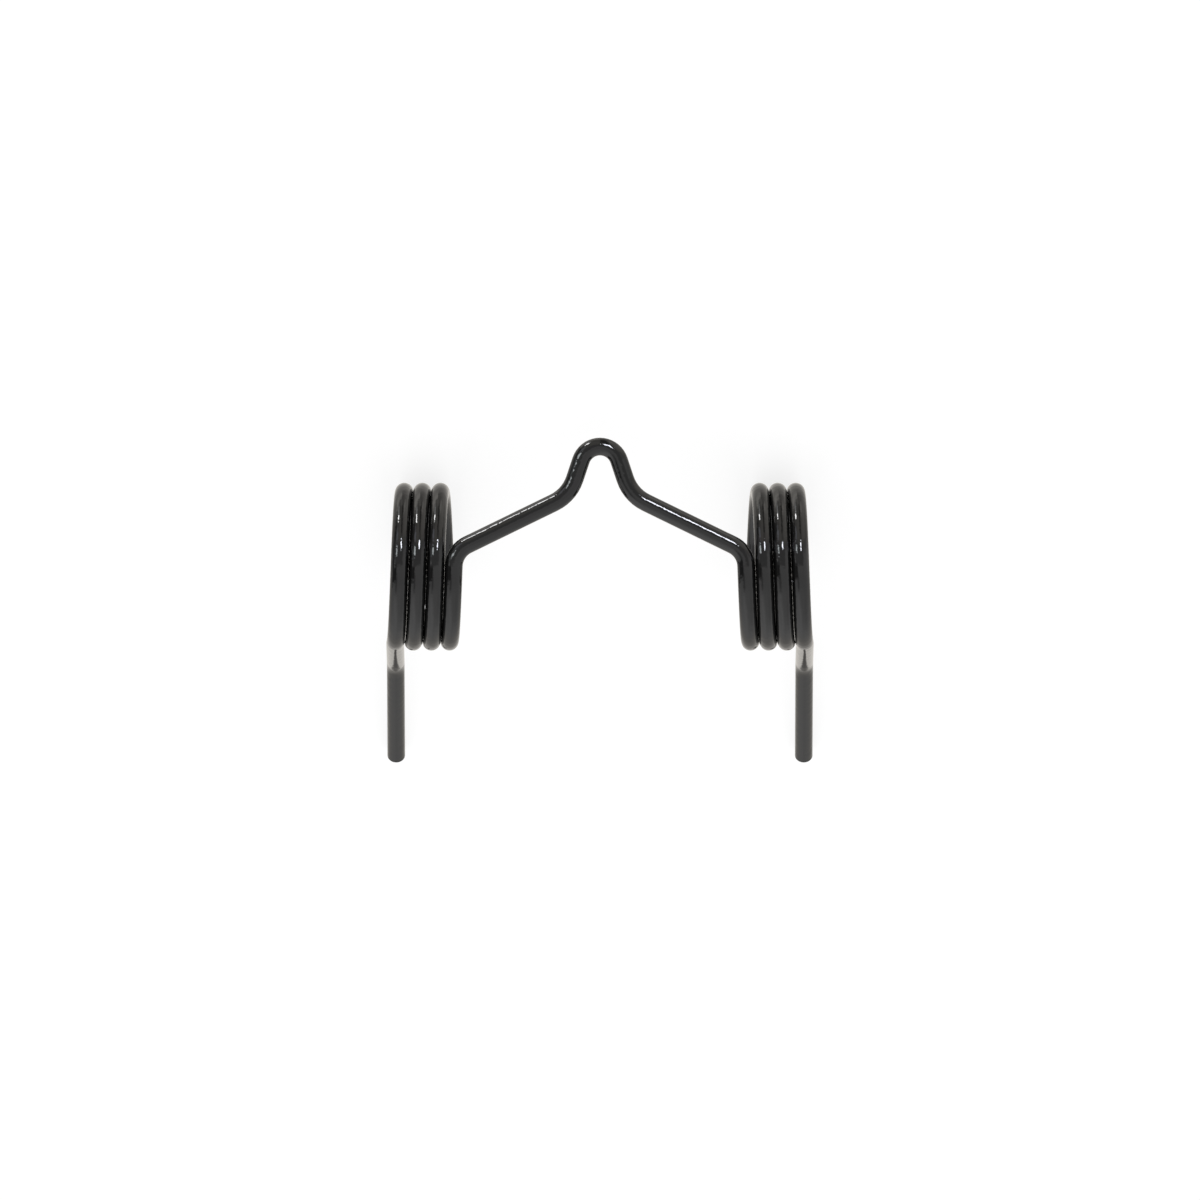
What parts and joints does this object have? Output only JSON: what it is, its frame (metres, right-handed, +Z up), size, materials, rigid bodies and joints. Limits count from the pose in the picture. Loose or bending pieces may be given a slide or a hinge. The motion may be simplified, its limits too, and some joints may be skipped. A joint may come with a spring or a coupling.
{
  "type": "double torsion spring",
  "caption": "Double torsion spring bent from one black painted round wire: two close-wound coils joined by a humped bridge, with two cranked legs.",
  "frame": {"origin": "on the common axis of the two coils, midway between them", "axes": "+X along the coils' common axis, towards the right coil; +Z up from the flat surface that the spring lies on, on the backs of its coils and the tips of its legs; +Y along that surface from the coils towards the leg tips, with the bridge and its hump towards -Y"},
  "size_m": [0.1196, 0.1379, 0.047],
  "materials": {
    "black_paint": "gloss black enamel over spring steel wire"
  },
  "bodies": {
    "root": {"double_torsion_spring": "black_paint"}
  },
  "joints": []
}
